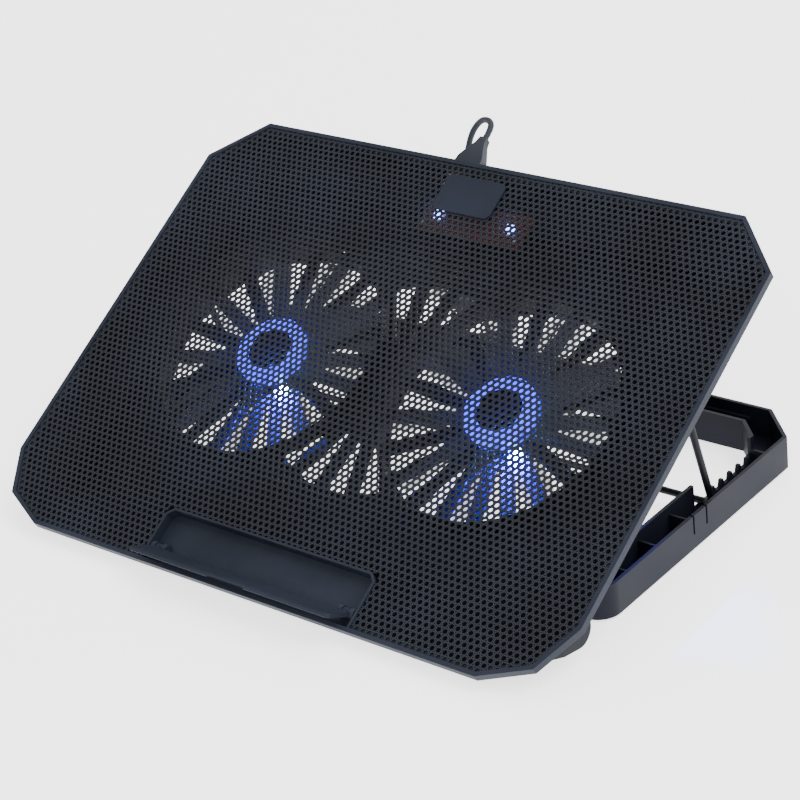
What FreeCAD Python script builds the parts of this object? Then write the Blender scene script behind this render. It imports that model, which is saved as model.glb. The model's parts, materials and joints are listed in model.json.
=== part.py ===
import FreeCAD, Part
import math
import os

# Laptop cooling pad on a folding stand.
#
# Three frames are used.  The pad frame has its origin at the middle of the pad's front top
# edge: X to the right, Y towards the rear, Z out of the top face.  The stand frame has its
# origin on the desk under the pad's hinge.  The model frame is the stand frame moved along Y
# so that the middle of the whole object lies over the origin.

Vector = FreeCAD.Vector
X_AXIS = Vector(1, 0, 0)
Y_AXIS = Vector(0, 1, 0)
Z_AXIS = Vector(0, 0, 1)

# name: (value in millimetres or degrees, what it is)
DIMENSIONS = {
    "pad_width": (370.0, "pad, left to right"),
    "pad_depth": (271.0, "pad, front to rear"),
    "rear_chamfer": (28.3, "rear corners, both ways"),
    "front_corner_x": (39.0, "front corners, from the side"),
    "front_corner_y": (38.0, "front corners, from the front"),
    "front_facet_x": (12.5, "vertex between the two front facets, from the side"),
    "front_facet_y": (12.5, "vertex between the two front facets, from the front"),
    "rim_height": (4.5, "bezel, side wall height"),
    "rim_width": (2.4, "bezel, width of the top face"),
    "ledge_width": (2.6, "bezel, ledge under the mesh"),
    "mesh_sink": (0.6, "mesh below the bezel's top face"),
    "mesh_thickness": (1.0, "mesh sheet"),
    "mesh_gap": (0.2, "mesh to bezel, all round"),
    "tray_width": (139.0, "stopper tray, outside"),
    "tray_rear": (32.9, "stopper tray, rear outside face from the front edge"),
    "tray_wall": (1.3, "stopper tray, walls and floor"),
    "tray_depth": (6.2, "stopper tray, floor below the top face"),
    "stopper_width": (132.0, "stopper flap, width"),
    "stopper_reach": (20.5, "stopper flap, pin axis to free edge"),
    "stopper_thickness": (2.2, "stopper flap, thickness"),
    "stopper_pin_y": (10.5, "stopper pin axis, from the front edge"),
    "stopper_pin_drop": (3.2, "stopper pin axis, below the top face"),
    "stopper_open": (122.0, "stopper flap, opening angle"),
    "pin_radius": (1.2, "stopper pin, radius"),
    "lug_inner": (57.3, "stopper lugs, inner side of the inner lug, from the middle"),
    "lug_outer": (64.7, "stopper lugs, inner side of the outer lug, from the middle"),
    "lug_width": (2.5, "stopper lugs, width"),
    "housing_inset": (3.5, "bottom housing, inside the pad's outline"),
    "shelf_half_width": (177.0, "bottom housing, side and rear shelf, from the middle"),
    "plate_depth": (6.0, "bottom housing, plate under the rim, below the top face"),
    "shelf_depth": (12.2, "bottom housing, side and rear shelf, below the top face"),
    "belly_depth": (21.0, "bottom housing, fan bay, below the top face"),
    "belly_half_width": (149.5, "bottom housing, fan bay, from the middle"),
    "belly_front": (26.0, "bottom housing, fan bay, front face"),
    "belly_rear": (243.0, "bottom housing, fan bay, rear face"),
    "shelf_front": (62.0, "bottom housing, side shelf, front face"),
    "housing_wall": (1.8, "bottom housing, walls and floor"),
    "fan_spacing": (152.5, "fan axis to fan axis"),
    "fan_y": (138.8, "fan axes, from the front edge"),
    "well_radius": (65.5, "fan well, inside"),
    "blade_radius": (62.0, "fan blades, tip"),
    "hub_radius": (20.0, "fan hub, outside"),
    "hub_drop": (10.5, "fan hub, top face below the pad's top face"),
    "hub_height": (6.3, "fan hub, height"),
    "cap_radius": (12.5, "fan hub cap"),
    "slot_count": (20, "grille slots round one fan"),
    "slot_inner": (30.0, "grille slots, inner radius"),
    "slot_outer": (64.5, "grille slots, outer radius"),
    "bar_width": (8.0, "grille bars between slots"),
    "tilt": (30.5, "pad, tilt on the first notch, degrees"),
    "axle_y": (42.0, "hinge axis, from the pad's front edge"),
    "axle_drop": (14.0, "hinge axis, below the pad's top face"),
    "axle_height": (17.0, "hinge axis, above the desk"),
    "axle_radius": (2.5, "hinge pin"),
    "stand_half_width": (170.0, "stand ring, outside"),
    "stand_front": (29.7, "stand ring, front face behind the hinge axis"),
    "stand_rear": (220.7, "stand ring, rear face behind the hinge axis"),
    "stand_height": (19.3, "stand ring, height"),
    "stand_channel": (18.0, "stand ring, outside to inside"),
    "stand_wall": (2.0, "stand ring, walls"),
    "stand_floor": (1.6, "stand ring, floor of the channel"),
    "stand_chamfer": (22.0, "stand ring, rear corners"),
    "stand_corner": (12.0, "stand ring, front corner radius"),
    "foot_height": (1.0, "rubber feet, height"),
    "notch_pitch": (8.4, "rack, notch to notch"),
    "notch_count": (6, "rack, notches"),
    "tooth_top": (9.3, "rack, tooth tips above the desk"),
    "wire_radius": (1.9, "bail wire, radius"),
    "bail_x": (161.0, "bail legs, from the middle"),
    "bail_y": (177.0, "bail pivot, from the pad's front edge"),
    "bail_drop": (15.0, "bail pivot, below the pad's top face"),
    "bail_length": (80.0, "bail, pivot to crossbar"),
    "bar_height": (7.9, "bail crossbar, above the desk in its notch"),
    "clearance": (0.3, "between pieces that move past each other"),
    "running_fit": (0.05, "between a pin and its hole, radial"),
    "board_thickness": (1.6, "circuit boards"),
    "socket_x": (-20.0, "lead's socket, from the middle"),
    "spare_socket_x": (0.0, "spare socket, from the middle"),
    "switch_x": (24.0, "power switch, from the middle"),
    "socket_drop": (8.0, "socket and switch axis, below the top face"),
    "cord_radius": (1.7, "lead, radius"),
    "coil_radius": (18.5, "lead's coil, middle of the turns"),
    "coil_section": (6.8, "lead's coil, thickness of the bundle of turns"),
    "centre_shift": (-84.78, "hinge axis, from the middle of the whole object"),
}

doc = FreeCAD.newDocument("CoolingPad")
sheet = doc.addObject("Spreadsheet::Sheet", "Dimensions")
for row, (alias, (amount, note)) in enumerate(DIMENSIONS.items(), start=1):
    sheet.set(f"A{row}", note)
    sheet.set(f"B{row}", str(amount))
    sheet.setAlias(f"B{row}", alias)
doc.recompute()

pieces = []


def size(alias):
    """A dimension, read back from the sheet."""
    return float(sheet.get(alias))


# ---------------------------------------------------------------- frames

STAND = FreeCAD.Placement(Vector(0, size("centre_shift"), 0), FreeCAD.Rotation())
HINGE = STAND * FreeCAD.Placement(Vector(0, 0, size("axle_height")), FreeCAD.Rotation())
PAD = (
    HINGE
    * FreeCAD.Placement(Vector(), FreeCAD.Rotation(X_AXIS, size("tilt")))
    * FreeCAD.Placement(Vector(0, -size("axle_y"), size("axle_drop")), FreeCAD.Rotation())
)


def keep(piece, label, placement):
    """Give a finished sub-part its name and its place, and list it for export."""
    piece.Label = label
    piece.Placement = placement
    pieces.append(piece)
    return piece


# ---------------------------------------------------------------- sketching helpers


def origin_plane(body, role):
    return next(feature for feature in body.Origin.OriginFeatures if feature.Role == role)


def sketch_on(body, name, loops, height=0.0, role="XY_Plane"):
    """A sketch of closed polygons on one of the body's own origin planes."""
    sketch = body.newObject("Sketcher::SketchObject", name)
    sketch.AttachmentSupport = [(origin_plane(body, role), "")]
    sketch.MapMode = "FlatFace"
    sketch.AttachmentOffset = FreeCAD.Placement(Vector(0, 0, height), FreeCAD.Rotation())
    for loop in loops:
        corners = [Vector(x, y, 0) for x, y in loop]
        for start, end in zip(corners, corners[1:] + corners[:1]):
            sketch.addGeometry(Part.LineSegment(start, end), False)
    return sketch


def sketch_circles(body, name, centres, radius, height=0.0, role="XY_Plane"):
    """A sketch of equal circles on one of the body's own origin planes."""
    sketch = sketch_on(body, name, [], height, role)
    for x, y in centres:
        sketch.addGeometry(Part.Circle(Vector(x, y, 0), Z_AXIS, radius), False)
    return sketch


def add_pad(body, name, sketch, length):
    """Extrude a sketch upwards by a length that an expression gives."""
    feature = body.newObject("PartDesign::Pad", name)
    feature.Profile = sketch
    feature.setExpression("Length", length)
    body.Tip = feature
    doc.recompute()
    return feature


def add_pocket(body, name, sketch, length):
    """Cut a sketch downwards, and make sure that it did cut."""
    before = body.Shape.Volume
    feature = body.newObject("PartDesign::Pocket", name)
    feature.Profile = sketch
    feature.setExpression("Length", length)
    body.Tip = feature
    doc.recompute()
    if body.Shape.Volume > before - 1e-3:
        raise RuntimeError(f"{name} cut nothing")
    return feature


def rectangle(x0, x1, y0, y1):
    return [(x0, y0), (x1, y0), (x1, y1), (x0, y1)]


def clipped(half_width, front, rear, front_cut, rear_cut):
    """A rectangle about X = 0 with its corners cut at 45 degrees."""
    right = [
        (half_width - front_cut, front),
        (half_width, front + front_cut),
        (half_width, rear - rear_cut),
        (half_width - rear_cut, rear),
    ]
    if front_cut == 0:
        right = right[1:]
    left = [(-x, y) for x, y in reversed(right)]
    return right + left


def pad_outline(inset=0.0):
    """The pad's outline: one chamfer at each rear corner, two facets at each front corner."""
    half = size("pad_width") / 2
    depth = size("pad_depth")
    right = [
        (half - size("front_corner_x"), 0),
        (half - size("front_facet_x"), size("front_facet_y")),
        (half, size("front_corner_y")),
        (half, depth - size("rear_chamfer")),
        (half - size("rear_chamfer"), depth),
    ]
    corners = right + [(-x, y) for x, y in reversed(right)]
    if inset == 0:
        return corners
    wire = Part.makePolygon([Vector(x, y, 0) for x, y in corners + corners[:1]])
    smaller = wire.makeOffset2D(-inset, join=2)
    return [(vertex.Point.x, vertex.Point.y) for vertex in smaller.OrderedVertexes]


# ---------------------------------------------------------------- solid helpers


def prism(loop, bottom, top):
    """A polygon extruded between two heights."""
    wire = Part.makePolygon([Vector(x, y, bottom) for x, y in loop + loop[:1]])
    return Part.Face(wire).extrude(Vector(0, 0, top - bottom))


def slab(x0, x1, y0, y1, bottom, top):
    return Part.makeBox(x1 - x0, y1 - y0, top - bottom, Vector(x0, y0, bottom))


def disc(radius, bottom, top, x=0.0, y=0.0):
    return Part.makeCylinder(radius, top - bottom, Vector(x, y, bottom))


def ring(outer, inner, bottom, top, x=0.0, y=0.0):
    return disc(outer, bottom, top, x, y).cut(disc(inner, bottom - 1, top + 1, x, y))


def rod(radius, start, end):
    return Part.makeCylinder(radius, (end - start).Length, start, end - start)


def fused(first, *others):
    return first.fuse(list(others)).removeSplitter()


def solid_piece(label, shape, placement):
    """A sub-part whose shape is worked out from the sheet by the functions above."""
    piece = doc.addObject("Part::Feature", label)
    piece.Shape = shape
    return keep(piece, label, placement * shape.Placement)


def group_of(shapes):
    return Part.makeCompound(shapes)


# ---------------------------------------------------------------- pad: bezel, mesh, badge


def make_bezel():
    """Moulded rim with a ledge for the mesh and the tray that the stopper folds into."""
    body = doc.addObject("PartDesign::Body", "Bezel")
    rim_inner = pad_outline(size("rim_width"))
    rim = sketch_on(body, "RimSketch", [pad_outline(), rim_inner], -size("rim_height"))
    add_pad(body, "Rim", rim, "Dimensions.rim_height")
    ledge_loops = [
        pad_outline(size("rim_width") / 2),
        pad_outline(size("rim_width") + size("ledge_width")),
    ]
    ledge = sketch_on(body, "LedgeSketch", ledge_loops, -size("rim_height"))
    ledge_height = "Dimensions.rim_height - Dimensions.mesh_sink - Dimensions.mesh_thickness"
    add_pad(body, "Ledge", ledge, ledge_height)
    half = size("tray_width") / 2
    rear = size("tray_rear")
    wall = size("tray_wall")
    corner = 4.0
    block = sketch_on(
        body,
        "TraySketch",
        [clipped(half, size("rim_width") - 0.4, rear, 0, corner)],
        -size("tray_depth") - wall,
    )
    add_pad(body, "Tray", block, "Dimensions.tray_depth + Dimensions.tray_wall")
    inside = clipped(half - wall, size("rim_width"), rear - wall, 0, corner - wall / 2)
    hollow = sketch_on(body, "HollowSketch", [inside])
    add_pocket(body, "Hollow", hollow, "Dimensions.tray_depth")
    for index, start in enumerate(lug_starts()):
        sketch = sketch_on(body, f"LugSketch{index}", [lug_outline()], start, "YZ_Plane")
        add_pad(body, f"Lug{index}", sketch, "Dimensions.lug_width")
    bore_start = size("lug_outer") + size("lug_width") + 0.1
    centre = (size("stopper_pin_y"), -size("stopper_pin_drop"))
    bore = sketch_circles(body, "PinBoreSketch", [centre], size("pin_radius"), bore_start, "YZ_Plane")
    add_pocket(body, "PinBore", bore, f"{2 * bore_start} mm")
    return keep(body, "bezel_frame", PAD)


def lug_starts():
    """Left side of each of the four hinge lugs, from left to right."""
    inner = size("lug_inner")
    outer = size("lug_outer")
    width = size("lug_width")
    return [-outer - width, -inner - width, inner, outer]


def lug_outline():
    """A rounded lug round the stopper's pin, standing on the tray's floor."""
    radius = 3.0
    y = size("stopper_pin_y")
    z = -size("stopper_pin_drop")
    floor = -size("tray_depth") - size("tray_wall") / 2
    arc = [math.radians(angle) for angle in range(0, 181, 20)]
    top = [(y + radius * math.cos(angle), z + radius * math.sin(angle)) for angle in arc]
    return top + [(y - radius, floor), (y + radius, floor)]


def make_mesh_panel():
    """Steel sheet between the rim's walls, cut away round the stopper's tray."""
    body = doc.addObject("PartDesign::Body", "Mesh")
    edge = size("rim_width") + size("mesh_gap")
    bottom = -size("mesh_sink") - size("mesh_thickness")
    sheet_sketch = sketch_on(body, "SheetSketch", [pad_outline(edge)], bottom)
    add_pad(body, "Sheet", sheet_sketch, "Dimensions.mesh_thickness")
    half = size("tray_width") / 2 + size("mesh_gap")
    notch = [rectangle(-half, half, 0, size("tray_rear") + size("mesh_gap"))]
    add_pocket(body, "Notch", sketch_on(body, "NotchSketch", notch), "5 mm")
    return keep(body, "mesh_panel", PAD)


def make_badge():
    """Blank plate with clipped corners, glued on the mesh."""
    body = doc.addObject("PartDesign::Body", "Badge")
    clip = 2.5
    plate = [(x - 2.5, y) for x, y in clipped(19.0, 238.3, 261.5, clip, clip)]
    add_pad(body, "Plate", sketch_on(body, "PlateSketch", [plate], -size("mesh_sink")), "1.2 mm")
    return keep(body, "badge", PAD)


# ---------------------------------------------------------------- pad: stopper


def stopper_placement():
    """The flap is modelled folded flat, with its pin along X at its own origin."""
    pin = Vector(0, size("stopper_pin_y"), -size("stopper_pin_drop"))
    swing = FreeCAD.Rotation(X_AXIS, size("stopper_open"))
    return PAD * FreeCAD.Placement(pin, swing)


def make_stopper():
    """Flip-up plate that keeps the laptop from sliding off, with two hinge knuckles."""
    half = size("stopper_width") / 2
    half_thick = size("stopper_thickness") / 2
    root = 4.2
    plate = slab(-half, half, root, size("stopper_reach"), -half_thick, half_thick)
    corners = [edge for edge in plate.Edges if abs(edge.Length - size("stopper_thickness")) < 0.01]
    free = [edge for edge in corners if edge.CenterOfMass.y > root + 1]
    plate = plate.makeChamfer(1.5, free)
    plate = plate.makeFillet(0.5, [edge for edge in plate.Edges if edge.Length > size("stopper_width") - 4])
    edge = size("stopper_reach")
    finger = slab(-12, 12, edge - 5, edge + 1, half_thick - 0.8, half_thick + 1)
    plate = plate.cut(finger)
    knuckles = []
    inner = size("lug_inner") + size("lug_width") + size("clearance")
    outer = size("lug_outer") - size("clearance")
    for start, end in ((inner, outer), (-outer, -inner)):
        barrel = rod(2.4, Vector(start, 0, 0), Vector(end, 0, 0))
        web = slab(start, end, 0, root + 0.5, -half_thick, half_thick)
        knuckles.append(barrel.fuse(web))
    flap = fused(plate, *knuckles)
    bore = rod(size("pin_radius") + size("running_fit"), Vector(-half, 0, 0), Vector(half, 0, 0))
    return solid_piece("stopper_flap", flap.cut(bore), stopper_placement())


def stopper_pins():
    """Two short pins, held by the lugs of the tray."""
    start = size("lug_inner") + 0.2
    end = size("lug_outer") + size("lug_width") - 0.2
    y = size("stopper_pin_y")
    z = -size("stopper_pin_drop")
    radius = size("pin_radius")
    spans = ((start, end), (-end, -start))
    return group_of([rod(radius, Vector(low, y, z), Vector(high, y, z)) for low, high in spans])


# ---------------------------------------------------------------- pad: bottom housing


def housing_block(inset, top):
    """Plate, side and rear shelf, and fan bay of the housing, shrunk by an inset."""
    outline = pad_outline(size("housing_inset") + inset)
    half = size("shelf_half_width") - inset
    rear = size("pad_depth") - size("housing_inset") - inset
    shelf = clipped(half, size("shelf_front") + inset, rear, 0, size("rear_chamfer") - 3)
    belly = rectangle(
        inset - size("belly_half_width"),
        size("belly_half_width") - inset,
        size("belly_front") + inset,
        size("belly_rear") - inset,
    )
    return (
        prism(outline, inset - size("plate_depth"), top),
        prism(shelf, inset - size("shelf_depth"), top),
        prism(belly, inset - size("belly_depth"), top),
    )


def slot_wedge(angle, x, y):
    """One grille slot: a wedge that leaves a bar of constant width beside it."""
    inner = size("slot_inner")
    outer = size("slot_outer")
    pitch = 2 * math.pi / size("slot_count")
    corners = []
    for radius, side in ((inner, -1), (outer, -1), (outer, 1), (inner, 1)):
        half = max(radius * pitch / 2 - size("bar_width") / 2, 0.8)
        corners.append(Vector(radius, side * half, 0))
    turned = [FreeCAD.Rotation(Z_AXIS, angle).multVec(corner) for corner in corners]
    loop = [(x + corner.x, y + corner.y) for corner in turned]
    return prism(loop, -size("belly_depth") - 1, -size("belly_depth") + size("housing_wall") + 1)


def grille_slots():
    """Three overlapping rings of slots: one under each fan and one between them."""
    pitch = 360 / size("slot_count")
    angles = [pitch * (step + 0.2) for step in range(int(size("slot_count")))]
    steep = [angle for angle in angles if abs(math.sin(math.radians(angle))) > 0.84]
    slots = [slot_wedge(angle, 0, size("fan_y")) for angle in steep]
    for x in (-size("fan_spacing") / 2, size("fan_spacing") / 2):
        slots += [slot_wedge(angle, x, size("fan_y")) for angle in angles]
    return slots


def ear(side):
    """Rounded cheek under a front corner of the rim, which carries the hinge pin."""
    radius = 8.2
    centre = Vector(0, 40.8, -11.8)
    top = -size("rim_height")
    front = Vector(0, 20.5, top)
    reach = centre - front
    slope = math.atan2(reach.z, reach.y) - math.asin(radius / reach.Length)
    start = slope - math.pi / 2
    steps = 12
    arc = []
    for step in range(steps + 1):
        angle = start * (1 - step / steps)
        arc.append(centre + Vector(0, radius * math.cos(angle), radius * math.sin(angle)))
    loop = [front] + arc + [Vector(0, centre.y + radius, top)]
    inner = 165.5
    outer = 178.5
    wire = Part.makePolygon(loop + loop[:1])
    cheek = Part.Face(wire).extrude(Vector(outer - inner, 0, 0))
    cheek.translate(Vector(inner, 0, 0))
    cheek = cheek.common(prism(pad_outline(0.6), -size("belly_depth") - 5, top))
    if side < 0:
        cheek = cheek.mirror(Vector(), X_AXIS)
    return cheek


def bail_boss(side):
    """Boss beside the fan bay that holds one end of the bail."""
    y = size("bail_y")
    z = -size("bail_drop")
    start = Vector(side * (size("belly_half_width") - 1), y, z)
    end = Vector(side * 156.5, y, z)
    return rod(3.7, start, end)


def board_screw_spots():
    return [(-26.5, 232.5), (34.5, 232.5)]


def make_housing():
    """Bottom shell: fan bay with its grilles, shelf for the board, hinge cheeks and bosses."""
    top = -size("rim_height")
    plate, shelf, belly = housing_block(0.0, top)
    wall = size("housing_wall")
    _, shelf_hollow, belly_hollow = housing_block(wall, top + 1)
    shell = fused(plate, shelf, belly).cut([shelf_hollow, belly_hollow])
    floor = wall - size("belly_depth")
    additions = []
    for x in (-size("fan_spacing") / 2, size("fan_spacing") / 2):
        well = ring(size("well_radius") + 1.6, size("well_radius"), floor - 0.5, -8.5, x, size("fan_y"))
        notch = slab(x - 3, x + 3, size("fan_y") + 55, size("fan_y") + 70, floor, floor + 2.5)
        additions.append(well.cut(notch))
    for side in (-1, 1):
        additions.append(ear(side))
        additions.append(bail_boss(side))
    additions += [disc(2.8, floor - 0.5, -9.2, x, y) for x, y in board_screw_spots()]
    shell = fused(shell, *additions)
    half = size("tray_width") / 2 + size("mesh_gap")
    bottom_of_tray = -size("tray_depth") - size("tray_wall")
    cuts = [slab(-half, half, -1, size("tray_rear") + size("mesh_gap"), bottom_of_tray - 0.1, 0)]
    cuts += grille_slots()
    cuts += rear_windows()
    pin = size("axle_radius")
    y, z = size("axle_y"), -size("axle_drop")
    wire = size("wire_radius") + size("running_fit")
    for side in (-1, 1):
        cuts.append(rod(pin, Vector(side * 160, y, z), Vector(side * 176.2, y, z)))
        bail_z = -size("bail_drop")
        bore_start = Vector(side * 140, size("bail_y"), bail_z)
        cuts.append(rod(wire, bore_start, Vector(side * 170, size("bail_y"), bail_z)))
    for x in (-75.0, 0.0, 75.0):
        cuts.append(disc(1.6, -size("belly_depth") - 1, floor + 1, x, 211.0))
    cuts += [disc(1.1, -16.0, -9.0, x, y) for x, y in board_screw_spots()]
    return solid_piece("bottom_housing", shell.cut(cuts), PAD)


def rear_windows():
    """Openings in the rear wall for the two sockets and the switch."""
    rear = size("pad_depth") - size("housing_inset")
    middle = -size("socket_drop")
    windows = []
    for x in (size("socket_x"), size("spare_socket_x")):
        windows.append(slab(x - 7.0, x + 7.0, rear - 14.1, rear + 1, middle - 2.9, middle + 3.4))
    x = size("switch_x")
    windows.append(slab(x - 4.6, x + 4.6, rear - 5, rear + 1, middle - 1.5, middle + 1.5))
    return windows


# ---------------------------------------------------------------- pad: fans


def fan_blade():
    """One pitched blade, leaning along its radius and clipped to the tip radius."""
    root = size("hub_radius") - 1.5
    tip = size("blade_radius")
    blade = slab(root, tip + 2, -8.5, 8.5, -0.6, 0.6)
    blade.rotate(Vector(), X_AXIS, 26)
    middle = -size("hub_drop") - 3.0
    blade.translate(Vector(0, 0, middle))
    return blade.common(disc(tip, middle - 12, middle + 12))


def fan_rotor(x):
    """Cup-shaped hub with nine blades."""
    top = -size("hub_drop")
    bottom = top - size("hub_height")
    hub = disc(size("hub_radius"), bottom, top)
    blades = []
    for step in range(9):
        blade = fan_blade()
        blade.rotate(Vector(), Z_AXIS, 40 * step)
        blades.append(blade)
    wheel = hub.fuse(blades)
    inside = disc(size("hub_radius") - 1.8, bottom - 8, top - 1.2)
    axle_hole = disc(1.5, top - 5, top + 1)
    wheel = wheel.cut([inside, axle_hole]).removeSplitter()
    wheel.translate(Vector(x, size("fan_y"), 0))
    return wheel


def make_fan(side_name, x):
    """A fan as it comes apart: wheel, cap, axle, bearing, coils, board and light."""
    y = size("fan_y")
    top = -size("hub_drop")
    floor = size("housing_wall") - size("belly_depth")
    solid_piece(f"{side_name}_fan_rotor", fan_rotor(x), PAD)
    solid_piece(f"{side_name}_hub_cap", disc(size("cap_radius"), top, top + 0.5, x, y), PAD)
    solid_piece(f"{side_name}_fan_shaft", disc(1.5, floor + 0.4, top, x, y), PAD)
    bearing = ring(4.0, 1.5 + size("running_fit"), floor, top - 1.6, x, y)
    solid_piece(f"{side_name}_fan_bearing", bearing, PAD)
    board = ring(17.0, 4.05, floor, floor + 0.8, x, y)
    solid_piece(f"{side_name}_fan_board", board, PAD)
    arms = [slab(-14.5, 14.5, -3.0, 3.0, floor + 0.8, top - 1.9) for _ in range(2)]
    arms[1].rotate(Vector(), Z_AXIS, 90)
    core = ring(7.0, 4.05, floor + 0.8, top - 1.9)
    poles = core.fuse(arms).cut(disc(4.05, floor, top))
    poles.translate(Vector(x, y, 0))
    solid_piece(f"{side_name}_fan_stator", poles.removeSplitter(), PAD)
    light = slab(21.5, 26.5, -2.5, 2.5, floor, floor + 1.4)
    light.rotate(Vector(), Z_AXIS, -45)
    light.translate(Vector(x, y, 0))
    solid_piece(f"{side_name}_fan_led", light, PAD)


# ---------------------------------------------------------------- pad: board, sockets, switch


def make_hub_board():
    """Circuit board behind the fans, with its lights and the sockets at its rear edge."""
    body = doc.addObject("PartDesign::Body", "HubBoard")
    outline = [(-30, 229), (38, 229), (38, 248), (36, 250), (-28, 250), (-30, 248)]
    bottom = -9.2
    laminate = sketch_on(body, "LaminateSketch", [outline], bottom)
    add_pad(body, "Laminate", laminate, "Dimensions.board_thickness")
    top = bottom + size("board_thickness")
    holes = sketch_circles(body, "ScrewHoleSketch", board_screw_spots(), 1.1, top)
    add_pocket(body, "ScrewHoles", holes, "1.1 * Dimensions.board_thickness")
    keep(body, "hub_board", PAD)
    screws = []
    for x, y in board_screw_spots():
        screws.append(disc(2.2, top, top + 1.3, x, y).fuse(disc(1.1, -15.8, top, x, y)))
    solid_piece("board_screws", group_of(screws), PAD)
    lights = group_of([slab(x - 2.5, x + 2.5, 237, 242, top, top + 1.6) for x in (-20.0, 27.0)])
    solid_piece("board_leds", lights, PAD)


def make_socket(label, x):
    """USB-A receptacle: a folded steel shell with its tongue in one piece of plastic."""
    middle = -size("socket_drop")
    rear = size("pad_depth") - size("housing_inset") - 0.2
    shell = slab(x - 6.9, x + 6.9, rear - 13.8, rear, middle - 2.8, middle + 3.2)
    mouth = slab(x - 6.4, x + 6.4, rear - 13.2, rear + 1, middle - 2.3, middle + 2.7)
    tongue = slab(x - 5.2, x + 5.2, rear - 13.3, rear - 3.0, middle - 0.1, middle + 1.8)
    solid_piece(label, shell.cut(mouth).fuse(tongue).removeSplitter(), PAD)


def make_switch():
    """Slide switch: a body behind the rear wall and a knob in the wall's slot."""
    x = size("switch_x")
    middle = -size("socket_drop")
    rear = size("pad_depth") - size("housing_inset") - size("housing_wall")
    case = slab(x - 6, x + 6, rear - 6.2, rear - 0.2, middle - 2.2, middle + 3.2)
    track = slab(x - 4.3, x + 4.3, rear - 3.5, rear + 1, middle - 1.3, middle + 1.3)
    solid_piece("power_switch_body", case.cut(track), PAD)
    knob_x = x - 1.5
    tip = rear + size("housing_wall") + 1.6
    knob = slab(knob_x - 1.6, knob_x + 1.6, rear - 3.2, tip, middle - 1.0, middle + 1.0)
    solid_piece("power_switch_slider", knob, PAD)


# ---------------------------------------------------------------- routed tubes


def tube(points, radius, label):
    """A round tube along straight runs joined by the largest tangent arcs they allow."""
    edges = []
    radii = []
    start = points[0]
    for before, corner, after in zip(points, points[1:], points[2:]):
        way_in = (corner - before).normalize()
        way_out = (after - corner).normalize()
        turn = way_in.getAngle(way_out)
        bend = 0.45 * min((corner - before).Length, (after - corner).Length) / math.tan(turn / 2)
        setback = bend * math.tan(turn / 2)
        first = corner - way_in * setback
        last = corner + way_out * setback
        inward = (way_out - way_in).normalize()
        middle = corner + inward * (bend / math.cos(turn / 2) - bend)
        edges.append(Part.LineSegment(start, first).toShape())
        edges.append(Part.Arc(first, middle, last).toShape())
        radii.append(round(bend, 1))
        start = last
    edges.append(Part.LineSegment(start, points[-1]).toShape())
    path = Part.Wire(edges)
    section = Part.Wire(Part.Circle(points[0], (points[1] - points[0]).normalize(), radius).toShape())
    shape = path.makePipeShell([section], True, False)
    expected = math.pi * radius ** 2 * path.Length
    print(f"{label}: {path.Length:.1f} mm long, bend radii {radii}")
    print(f"{label}: volume is {shape.Volume / expected:.4f} of section x length")
    return shape


def fan_wire_route(x):
    """From the board's front edge along the floor, through the notch in the well's wall."""
    floor = size("housing_wall") - size("belly_depth") + 0.65
    start = 10.0 if x > 0 else -18.0
    return [
        Vector(start, 233.0, -9.9),
        Vector(start, 229.0, -12.5),
        Vector(start + 0.12 * (x - start), 222.0, floor),
        Vector(start + 0.50 * (x - start), 219.0, floor),
        Vector(start + 0.85 * (x - start), 216.0, floor),
        Vector(x, 205.0, floor),
        Vector(x, 180.0, floor),
        Vector(x + 1.0, size("fan_y") + 17.4, floor),
    ]


# ---------------------------------------------------------------- stand


def stand_outline(inset):
    """The ring's outline in plan: chamfered rear corners, rounded front corners."""
    half = size("stand_half_width") - inset
    front = size("stand_front") + inset
    rear = size("stand_rear") - inset
    cut = size("stand_chamfer") - 0.586 * inset
    radius = max(size("stand_corner") - inset, 2.0)
    diagonal = radius * (1 - math.sqrt(0.5))
    edges = [
        Part.LineSegment(Vector(-half + radius, front, 0), Vector(half - radius, front, 0)),
        Part.Arc(
            Vector(half - radius, front, 0),
            Vector(half - diagonal, front + diagonal, 0),
            Vector(half, front + radius, 0),
        ),
        Part.LineSegment(Vector(half, front + radius, 0), Vector(half, rear - cut, 0)),
        Part.LineSegment(Vector(half, rear - cut, 0), Vector(half - cut, rear, 0)),
        Part.LineSegment(Vector(half - cut, rear, 0), Vector(-half + cut, rear, 0)),
        Part.LineSegment(Vector(-half + cut, rear, 0), Vector(-half, rear - cut, 0)),
        Part.LineSegment(Vector(-half, rear - cut, 0), Vector(-half, front + radius, 0)),
        Part.Arc(
            Vector(-half, front + radius, 0),
            Vector(-half + diagonal, front + diagonal, 0),
            Vector(-half + radius, front, 0),
        ),
    ]
    return Part.Wire([edge.toShape() for edge in edges])


def stand_block(inset, bottom, top):
    block = Part.Face(stand_outline(inset)).extrude(Vector(0, 0, top - bottom))
    block.translate(Vector(0, 0, bottom))
    return block


def bail_foot():
    """Crossbar's place behind the hinge axis, from the bail's length and height."""
    tilt = math.radians(size("tilt"))
    along = size("bail_y") - size("axle_y")
    across = size("axle_drop") - size("bail_drop")
    pivot_y = along * math.cos(tilt) - across * math.sin(tilt)
    pivot_z = size("axle_height") + along * math.sin(tilt) + across * math.cos(tilt)
    drop = pivot_z - size("bar_height")
    return pivot_y + math.sqrt(size("bail_length") ** 2 - drop ** 2)


def rack_notch(inner, outer, middle, seat, half):
    """One notch of the rack, wider at the top, so that the teeth beside it taper."""
    tip = size("tooth_top") + 0.01
    flare = half + 1.1
    loop = [
        Vector(inner, middle - half, seat),
        Vector(inner, middle + half, seat),
        Vector(inner, middle + flare, tip),
        Vector(inner, middle - flare, tip),
    ]
    return Part.Face(Part.makePolygon(loop + loop[:1])).extrude(Vector(outer - inner, 0, 0))


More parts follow.
